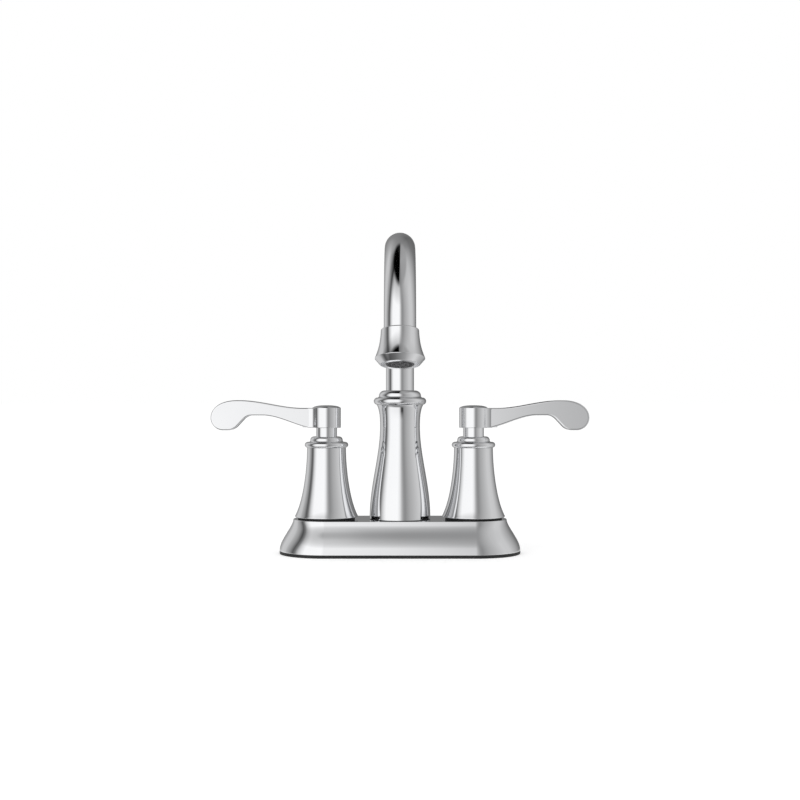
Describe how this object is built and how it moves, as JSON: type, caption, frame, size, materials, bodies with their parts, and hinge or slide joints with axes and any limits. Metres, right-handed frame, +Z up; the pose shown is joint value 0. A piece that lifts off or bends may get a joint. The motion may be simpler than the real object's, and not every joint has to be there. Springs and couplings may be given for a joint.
{
  "type": "two-handle bathroom faucet",
  "caption": "Deck-mounted centerset faucet: high gooseneck spout that swivels and two quarter-turn wing levers on flared bells over an ogee deck plate.",
  "frame": {"origin": "on the deck, at the foot of the gasket, on the spout column's axis", "axes": "+X towards the cold handle, -Y towards the user, +Z up the spout column"},
  "size_m": [0.261, 0.1731, 0.2129],
  "materials": {
    "chrome": "polished chrome plate",
    "brass": "turned brass",
    "copper": "drawn copper tube",
    "rubber": "matt black rubber",
    "nylon": "natural nylon",
    "ceramic": "lapped alumina",
    "steel": "stainless steel",
    "dark_plastic": "dark moulded plastic"
  },
  "bodies": {
    "base": {"deck_plate": "chrome", "deck_gasket": "rubber", "spout_column": "chrome", "column_seal": "rubber", "spout_spigot": "brass", "guide_bush": "nylon", "spout_thrust_washer": "nylon", "spout_snap_ring": "steel", "hot_bell": "chrome", "hot_bell_seal": "rubber", "hot_valve_body": "brass", "hot_crossover": "copper", "hot_cartridge_housing": "brass", "hot_thrust_washer": "nylon", "hot_fixed_disc": "ceramic", "hot_seat_seal": "rubber", "cold_bell": "chrome", "cold_bell_seal": "rubber", "cold_valve_body": "brass", "cold_crossover": "copper", "cold_cartridge_housing": "brass", "cold_thrust_washer": "nylon", "cold_fixed_disc": "ceramic", "cold_seat_seal": "rubber"},
    "hot_lever": {"hot_handle": "chrome", "hot_set_screw": "steel", "hot_stem": "brass", "hot_stem_oring": "rubber", "hot_stem_clip": "steel", "hot_moving_disc": "ceramic"},
    "cold_lever": {"cold_handle": "chrome", "cold_set_screw": "steel", "cold_stem": "brass", "cold_stem_oring": "rubber", "cold_stem_clip": "steel", "cold_moving_disc": "ceramic"},
    "spout": {"spout_tube": "chrome", "spout_insert": "brass", "spout_orings": "rubber", "spout_ferrule": "chrome", "aerator_washer": "rubber", "aerator_housing": "chrome", "aerator_insert": "dark_plastic"}
  },
  "joints": [
    {"name": "hot_turn", "type": "hinge", "parent": "base", "child": "hot_lever", "pos_m": [-0.0508, 0, 0.09], "axis": [0, 0, 1], "range_deg": [0, 90]},
    {"name": "cold_turn", "type": "hinge", "parent": "base", "child": "cold_lever", "pos_m": [0.0508, 0, 0.09], "axis": [0, 0, -1], "range_deg": [0, 90]},
    {"name": "spout_swivel", "type": "hinge", "parent": "base", "child": "spout", "pos_m": [0, 0, 0.11], "axis": [0, 0, 1], "range_deg": [-60, 60]}
  ]
}
